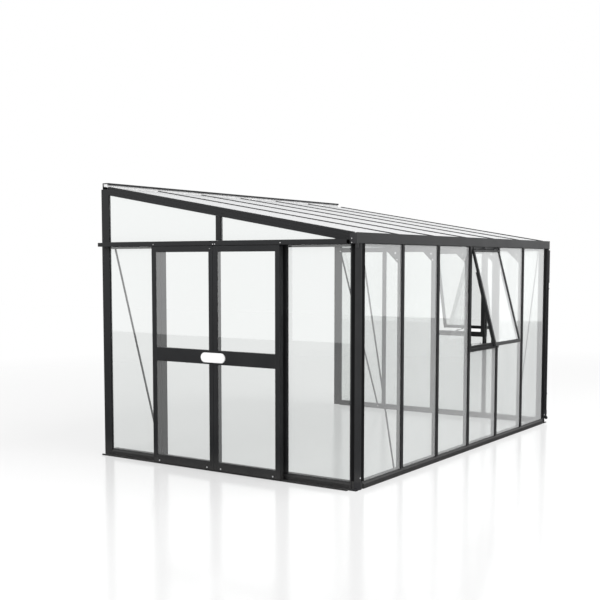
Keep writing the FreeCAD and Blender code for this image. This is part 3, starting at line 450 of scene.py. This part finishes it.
marks += [((x + BAY / 2, FRONT, RAIL_SCREW_UP), OUT_FRONT) for x in (NEAR_LINE, *BAR_X)]
grown("frame_screws", marked_points("frame_screws", marks), heads, {"Radius": 0.0042, "Height": 0.0022},
      dark_screw, "frame")

# Caps, seals and beads: flat black caps are pressed on the bars over soft rubber strips, and a
# thin round rubber bead is tucked in along every edge of the glass.

dress(rubber, "glazing_seals", "glazing_bar_caps")
BEAD = 0.0016             # radius


def bead_runs(name, surface):
    """A round bead along every line."""
    tree, given, end = new_tree(name, {"Bead": BEAD}, surface)
    line = part_of(tree, "GeometryNodeMeshToCurve", {"Mesh": given["Start"]})
    ring = part_of(tree, "GeometryNodeCurvePrimitiveCircle", {"Resolution": 8, "Radius": given["Bead"]})
    swept = part_of(tree, "GeometryNodeCurveToMesh", {
        "Curve": line.outputs[0], "Profile Curve": ring.outputs[0], "Fill Caps": True})
    tree.links.new(swept.outputs[0], end)
    return tree


def lines(name, pairs, turn=None):
    """Separate straight lines between pairs of points, turned where a turn is given."""
    mesh = bpy.data.meshes.new(name)
    ends = [Vector(point) for pair in pairs for point in pair]
    if turn:
        ends = [turn @ point for point in ends]
    mesh.from_pydata(ends, [(number, number + 1) for number in range(0, len(ends), 2)], [])
    return mesh


def around(place, across, height, depths):
    """The four lines round an opening, at each depth."""
    runs = []
    for depth in depths:
        corners = [place(across[0], depth, height[0]), place(across[1], depth, height[0]),
                   place(across[1], depth, height[1]), place(across[0], depth, height[1])]
        runs += [(corners[number], corners[(number + 1) % 4]) for number in range(4)]
    return runs


def front_place(across, depth, up):
    """A point on the front: from its middle, in from its face, and up."""
    return (across, FRONT + depth, up)


def near_place(across, depth, up):
    """A point on the door gable: from the front, in from its face, and up."""
    return (depth - GABLE, FRONT + across, up)


def far_place(across, depth, up):
    """A point on the far gable: from the front, in from its face, and up."""
    return (GABLE - depth, FRONT + across, up)


BEAD_DEPTH = 0.0104       # outer face of the frame to the middle of a bead
CAP_EDGE = 0.0165         # grid line to the edge of a cap
CORNER_EDGE = 0.094       # gable's face to the first pane of the front
PANE_FOOT = 0.0515
FRONT_PANE_HEAD = 1.8195
GABLE_PANE_HEAD = 1.8155
SHORT_PANE_HEAD = 0.884   # under a window
WINDOW_BAY, FAR_WINDOW_BAY = 3, 1
FAR_EDGES = (0.078, 0.690, 1.310, 1.930, 2.507)
SIDE_LIGHTS = ((0.078, 0.641), (1.999, 2.507))            # each side of the doors
beads = bead_runs("bead_runs", rubber)
runs = []
for bay in range(6):
    left = max(NEAR_LINE + BAY * bay + CAP_EDGE, CORNER_EDGE - GABLE)
    right = min(NEAR_LINE + BAY * (bay + 1) - CAP_EDGE, GABLE - CORNER_EDGE)
    head = SHORT_PANE_HEAD if bay == WINDOW_BAY else FRONT_PANE_HEAD
    runs += around(front_place, (left, right), (PANE_FOOT, head), (BEAD_DEPTH,))
for bay in range(4):
    left = FAR_EDGES[bay] + (CAP_EDGE if bay else 0.0)
    right = FAR_EDGES[bay + 1] - (CAP_EDGE if bay < 3 else 0.0)
    head = SHORT_PANE_HEAD if bay == FAR_WINDOW_BAY else GABLE_PANE_HEAD
    runs += around(far_place, (left, right), (PANE_FOOT, head), (BEAD_DEPTH,))
for sides in SIDE_LIGHTS:
    runs += around(near_place, sides, (PANE_FOOT, GABLE_PANE_HEAD), (BEAD_DEPTH,))
grown("pane_beads", lines("pane_beads", runs), beads, {"Bead": BEAD}, rubber, "frame")

# Panes: clear 4 mm toughened glass with seamed edges, slid into the grooves of the frame and
# held there by the caps.

GLASS_INDEX = 1.5
GLASS_TINT = (0.925, 0.935, 0.930, 1.0)
FILM = (0.90, 0.91, 0.91, 1.0)            # a thin bloom of dust and old rain
FILM_GAIN = 2.6                           # stronger at a slant
FILM_LEAST, FILM_MOST = 0.94, 1.06        # shares of that, from place to place
MIRROR = (0.97, 0.985, 0.98, 1.0)
MIRROR_LEAST = 0.075                      # both faces together, square on
MIRROR_BLUR = 0.03                        # where the bloom is thickest


def clear_glass():
    """Toughened glass: clear, mirrored more at a slant, and filmed on its outer side."""
    surface, tree = new_surface("pane_glass")
    slant = part_of(tree, "ShaderNodeFresnel", {"IOR": GLASS_INDEX}).outputs[0]
    back = part_of(tree, "ShaderNodeNewGeometry").outputs["Backfacing"]
    outer = part_of(tree, "ShaderNodeMath", {0: 1.0, 1: back}, operation="SUBTRACT").outputs[0]
    mirrored = part_of(tree, "ShaderNodeMath", {0: slant, 1: MIRROR_LEAST}, operation="ADD", use_clamp=True)
    mirror_share = part_of(tree, "ShaderNodeMath", {0: mirrored.outputs[0], 1: outer}, operation="MULTIPLY")
    smear = grain(tree, 3.0, 4.0, (1.0, 1.0, 0.25))
    gain = between(tree, smear, FILM_LEAST * FILM_GAIN, FILM_MOST * FILM_GAIN)
    bloom = part_of(tree, "ShaderNodeMath", {0: slant, 1: gain}, operation="MULTIPLY")
    film_share = part_of(tree, "ShaderNodeMath", {0: bloom.outputs[0], 1: outer}, operation="MULTIPLY",
                         use_clamp=True)
    clear = part_of(tree, "ShaderNodeBsdfTransparent", {"Color": GLASS_TINT})
    film = part_of(tree, "ShaderNodeBsdfDiffuse", {"Color": FILM})
    blur = between(tree, smear, 0.0, MIRROR_BLUR)
    mirror = part_of(tree, "ShaderNodeBsdfGlossy", {"Color": MIRROR, "Roughness": blur})
    hazed = part_of(tree, "ShaderNodeMixShader",
                    {0: film_share.outputs[0], 1: clear.outputs[0], 2: film.outputs[0]})
    pane = part_of(tree, "ShaderNodeMixShader",
                   {0: mirror_share.outputs[0], 1: hazed.outputs[0], 2: mirror.outputs[0]})
    return finish(surface, tree, pane)


glass = clear_glass()
dress(glass, "front_glass", "far_gable_glass", "door_gable_glass")

# Roof: coated rafters and bars, screwed to the eaves beam and the wall plate, carry six opal
# twin-wall sheets. Each sheet is slid in from the eaves and held down by snap-on caps.

dress(anthracite, "verge_rafter_near", "verge_rafter_far", "roof_bars")
RIB_PITCH = 0.020
RIB_WIDTH = 0.0016
RIB_DEPTH = 0.0002
RIB_SHADE = (0.60, 0.61, 0.62)
RIB_SHOWN = 0.25          # how far a rib takes that shade


def twin_wall(name, colour):
    """Opal twin-wall sheet: soft sheen, with the upright ribs inside showing as faint lines."""
    surface, tree = new_surface(name)
    cloud = grain(tree, 2.5, 3.0)
    place = part_of(tree, "ShaderNodeTexCoord").outputs["Object"]
    across = part_of(tree, "ShaderNodeSeparateXYZ", {0: place}).outputs["X"]
    ripple = part_of(tree, "ShaderNodeMath", {0: across, 1: RIB_PITCH / 2}, operation="PINGPONG").outputs[0]
    rib = between(tree, ripple, 1.0, 0.0, 0.0, RIB_WIDTH)
    shade = tuple(0.95 * part for part in colour)
    colour = blend_colours(tree, between(tree, cloud, 0.0, 1.0), shade, colour)
    faint = part_of(tree, "ShaderNodeMath", {0: rib, 1: RIB_SHOWN}, operation="MULTIPLY").outputs[0]
    colour = blend_colours(tree, faint, colour, RIB_SHADE)
    sheet = part_of(tree, "ShaderNodeBsdfPrincipled", {
        "Base Color": colour, "Roughness": between(tree, cloud, 0.30, 0.40),
        "Normal": bumps(tree, rib, RIB_DEPTH, 0.4)})
    return finish(surface, tree, sheet)


opal_sheet = twin_wall("opal_twin_wall", (0.49, 0.495, 0.50))
dress(opal_sheet, "roof_panels")

# Wall plate: a coated aluminium channel, bolted to the wall along the roof's upper edge. A pale
# foam filler closes the gap between the channel and the sheets.

dress(anthracite, "wall_plate")
filler = moulding("filler_foam", (0.72, 0.72, 0.72), roughness=0.62, texture=260.0)
dress(filler, "wall_plate_filler")

# Gutter and downpipe: a coated trough hooked on the eaves beam and tied by thin straps, with
# black moulded ends pushed on, and a pipe held by clips at the far corner.

gutter_coat = powder_coat("gutter_coat", (0.018, 0.0185, 0.0195), (0.023, 0.0235, 0.0245))
dress(gutter_coat, "gutter")
dress(anthracite, "downpipe", "downpipe_clips")
dress(black_moulding, "gutter_end_caps", "downpipe_fittings")
STRAP_HALF = 0.008        # half a strap's width
STRAP_RUN = ((0.0028, 0.059), (1.8935, 1.8951))           # in from the front, and up
STRAP_LIP = ((0.0030, 0.0048), (1.8850, 1.8951))
straps = []
for x in (NEAR_LINE, *BAR_X, -NEAR_LINE):
    for back, up in (STRAP_RUN, STRAP_LIP):
        straps.append(((x - STRAP_HALF, FRONT + back[0], up[0]), (x + STRAP_HALF, FRONT + back[1], up[1])))
from_bars("gutter_straps", straps, THIN_EASE, anthracite, "frame")

# Bracing: coated gusset plates bolted to the heads of the front bars and to the roof bars, with
# zinc-plated bolts, and flat coated strips screwed slantwise across the end bays.

ZINC = (0.78, 0.78, 0.79)
ZINC_ROUGHNESS = 0.42
ZINC_PITS = 0.0002        # deep
UPPER_DARKENING = (0.045, 0.043, 0.040)
UPPER_DARKENING_FADE = 0.01        # the height over which it thins out


def plated_metal(name, colour, roughness, darkening_level=None):
    """Zinc-plated steel, dulled by its passive coat, and darker above a level."""
    surface, tree = new_surface(name)
    pits = grain(tree, 500.0)
    cloud = grain(tree, 30.0, 3.0)
    shade = tuple(0.8 * part for part in colour)
    plain = blend_colours(tree, between(tree, cloud, 0.0, 1.0), shade, colour)
    if darkening_level:
        place = part_of(tree, "ShaderNodeTexCoord").outputs["Object"]
        height = part_of(tree, "ShaderNodeSeparateXYZ", {0: place}).outputs["Z"]
        darkened = between(tree, height, 0.0, 1.0, darkening_level, darkening_level + UPPER_DARKENING_FADE)
        plain = blend_colours(tree, darkened, plain, UPPER_DARKENING)
    metal = part_of(tree, "ShaderNodeBsdfPrincipled", {
        "Base Color": plain, "Metallic": 0.55,
        "Roughness": between(tree, pits, roughness - 0.08, roughness + 0.08),
        "Normal": bumps(tree, pits, ZINC_PITS, 0.25)})
    return finish(surface, tree, metal)


dress(anthracite, "knee_plates", "wind_braces")
zinc = plated_metal("zinc_plate", ZINC, ZINC_ROUGHNESS)
WASHER_THICK = 0.0012
KNEE_FACE = 0.002         # half a plate's thickness
KNEE_BOLTS = ((0.060, 1.704), (0.150, 1.815))             # in from the front, and up


def hexagon_heads(name, surface):
    """A six-sided bolt head on a round washer, on every point."""
    tree, given, end = new_tree(name, {"Across": 0.006, "Height": 0.004, "Washer": 0.008}, surface)
    ring = part_of(tree, "GeometryNodeMeshCone", {"Vertices": 16, "Radius Top": given["Washer"],
                                                  "Depth": WASHER_THICK, "Radius Bottom": given["Washer"]},
                   fill_type="NGON")
    nut = part_of(tree, "GeometryNodeMeshCone", {"Vertices": 6, "Radius Top": given["Across"],
                                                 "Depth": given["Height"], "Radius Bottom": given["Across"]},
                  fill_type="NGON")
    both = tree.nodes.new("GeometryNodeJoinGeometry")
    tree.links.new(ring.outputs[0], both.inputs[0])
    tree.links.new(nut.outputs[0], both.inputs[0])
    facing = part_of(tree, "GeometryNodeInputNamedAttribute", {"Name": "facing"}, data_type="FLOAT_VECTOR")
    turn = part_of(tree, "FunctionNodeAlignRotationToVector", {"Vector": facing.outputs[0]}, axis="Z")
    set_on = part_of(tree, "GeometryNodeInstanceOnPoints", {
        "Points": given["Start"], "Instance": both.outputs[0], "Rotation": turn.outputs[0]})
    tree.links.new(set_on.outputs[0], end)
    return tree


bolts = hexagon_heads("hexagon_heads", zinc)
marks = []
for x in BAR_X:
    for depth, up in KNEE_BOLTS:
        marks += [((x + side * KNEE_FACE, FRONT + depth, up), OUT_GABLE[side]) for side in (-1, 1)]
grown("knee_bolts", marked_points("knee_bolts", marks), bolts,
      {"Across": 0.0055, "Height": 0.0045, "Washer": 0.0075}, zinc, "frame")

# Sliding doors: coated leaves screwed at their corners and glazed with the same panes. Each one
# hangs on two moulded rollers in a slotted track, and a rib on the lower track guides its foot.

dress(anthracite, "door_header_track", "lower_door_track")
BRISTLE_LEAN = 0.16       # radians, either way


def bristle_row(name, surface):
    """Stiff square bristles along a line, standing out to one side."""
    tree, given, end = new_tree(name, {"Spacing": 0.004, "Length": 0.012, "Thick": 0.002}, surface)
    line = part_of(tree, "GeometryNodeMeshToCurve", {"Mesh": given["Start"]})
    spread = part_of(tree, "GeometryNodeCurveToPoints", {
        "Curve": line.outputs[0], "Length": given["Spacing"]}, mode="LENGTH")
    size = part_of(tree, "ShaderNodeCombineXYZ", {
        "X": given["Length"], "Y": given["Thick"], "Z": given["Thick"]})
    bristle = part_of(tree, "GeometryNodeMeshCube", {"Size": size.outputs[0]})
    lean = part_of(tree, "FunctionNodeRandomValue", {
        "Min": (-BRISTLE_LEAN,) * 3, "Max": (BRISTLE_LEAN,) * 3, "Seed": 7}, data_type="FLOAT_VECTOR")
    set_on = part_of(tree, "GeometryNodeInstanceOnPoints", {
        "Points": spread.outputs[0], "Rotation": lean.outputs[0], "Instance": bristle.outputs[0]})
    tree.links.new(set_on.outputs[0], end)
    return tree


LEAVES = {"left": (1.309, 1.954), "right": (0.660, 1.305)}
PILE_IN = 0.020           # a leaf's meeting edge to its brush
PILE_DEPTH = -0.0145      # middle of the bristles, out from the gable
PILE_UP = (0.03, 1.79)
HOLDER_HALF = 0.005       # half the brush holder's width
HOLDER_DEPTH = (-0.0245, -0.0185)
HOLDER_UP = (0.02, 1.80)
LEAF_STILE = 0.041        # a leaf's edge to the beads of its panes
LEAF_PANES = ((0.079, 0.870), (0.979, 1.767))
LEAF_BEADS = (-0.0694, -0.0626)           # in front of a pane and behind it
brush = bristle_row("bristle_row", rubber)
for leaf, (low, high) in LEAVES.items():
    middle = high - PILE_IN if leaf == "left" else low + PILE_IN
    foot, head = (near_place(middle, PILE_DEPTH, up) for up in PILE_UP)
    pile = lines(leaf + "_brush_pile", [(foot, head)])
    grown(leaf + "_brush_pile", pile, brush, {"Spacing": 0.004, "Length": 0.011, "Thick": 0.0022},
          rubber, leaf + "_door")
    holder = (near_place(middle - HOLDER_HALF, HOLDER_DEPTH[0], HOLDER_UP[0]),
              near_place(middle + HOLDER_HALF, HOLDER_DEPTH[1], HOLDER_UP[1]))
    from_bars(leaf + "_brush_holder", [holder], EASE, anthracite, leaf + "_door")
    runs = []
    for heights in LEAF_PANES:
        runs += around(near_place, (low + LEAF_STILE, high - LEAF_STILE), heights, LEAF_BEADS)
    grown(leaf + "_door_beads", lines(leaf + "_door_beads", runs), beads, {"Bead": BEAD}, rubber,
          leaf + "_door")
MEETING_ACROSS = (1.3073, 1.3092)         # the soft strip between the two leaves
MEETING_DEPTH = (-0.071, -0.028)
MEETING_UP = (0.018, 1.808)
meeting = (near_place(MEETING_ACROSS[0], MEETING_DEPTH[0], MEETING_UP[0]),
           near_place(MEETING_ACROSS[1], MEETING_DEPTH[1], MEETING_UP[1]))
from_bars("meeting_strip", [meeting], THIN_EASE, rubber, "left_door")
handle_white = moulding("white_plate", (0.88, 0.88, 0.88), roughness=0.28, texture=300.0)
TRACK_FOOT = 1.795        # the hangers are darker from here up
hanger_steel = plated_metal("hanger_steel", ZINC, ZINC_ROUGHNESS, TRACK_FOOT)
for leaf in ("left", "right"):
    dress(anthracite, leaf + "_door_stiles", leaf + "_door_rails")
    dress(glass, leaf + "_door_glass")
    dress(handle_white, leaf + "_door_handle")
    dress(hanger_steel, leaf + "_door_hangers")
    dress(black_moulding, leaf + "_door_guides", leaf + "_door_roller_a", leaf + "_door_roller_b")

# Top-hung windows: a riveted aluminium sash with one pane swings on a rod at its head. A slotted
# steel stay, hinged on its foot, drops over a pin on the sill and holds it open.

dress(anthracite, "window_fixed_rails", "window_hinges")
black_steel = powder_coat("coated_steel", (0.016, 0.016, 0.017), (0.022, 0.022, 0.023))
SASHES = {"front": ((0.310, -0.036, 1.800), (-1.0, 0.0, 0.0), front_place, 0.310),
          "far": ((1.922, 0.970, 1.800), (0.0, -1.0, 0.0), far_place, 1.000)}
OPENED = math.radians(15.0)
SASH_BEAD_ACROSS = 0.262  # from the middle of the sash
SASH_BEAD_UP = (0.950, 1.776)
SASH_BEADS = (-0.0074, -0.0006)           # in front of the pane and behind it
RIVET_ACROSS = 0.274
RIVET_UP = (0.932, 0.944, 1.772, 1.783)
RIVET_DEPTH = -0.014
for window, (pin, axis, side_place, middle) in SASHES.items():
    dress(anthracite, window + "_sash_frame")
    dress(glass, window + "_sash_glass")
    dress(black_steel, window + "_stay")
    opened = (Matrix.Translation(pin) @ Matrix.Rotation(OPENED, 4, Vector(axis))
              @ Matrix.Translation(-Vector(pin)))
    sides = (middle - SASH_BEAD_ACROSS, middle + SASH_BEAD_ACROSS)
    runs = around(side_place, sides, SASH_BEAD_UP, SASH_BEADS)
    grown(window + "_sash_beads", lines(window + "_sash_beads", runs, opened), beads, {"Bead": BEAD},
          rubber, window + "_sash")
    rivets = []
    out = opened.to_3x3() @ (Vector(side_place(0.0, -1.0, 0.0)) - Vector(side_place(0.0, 0.0, 0.0)))
    for across in (middle - RIVET_ACROSS, middle + RIVET_ACROSS):
        for up in RIVET_UP:
            rivets.append((opened @ Vector(side_place(across, RIVET_DEPTH, up)), out))
    grown(window + "_sash_rivets", marked_points(window + "_sash_rivets", rivets), heads,
          {"Radius": 0.0028, "Height": 0.0012, "Socket": 0.35}, dark_screw, window + "_sash")

# Screws and pins that show on the frame: zinc-plated steel with low round heads, driven from
# outside through the posts, rails and tracks.

dress(zinc, "frame_fasteners")
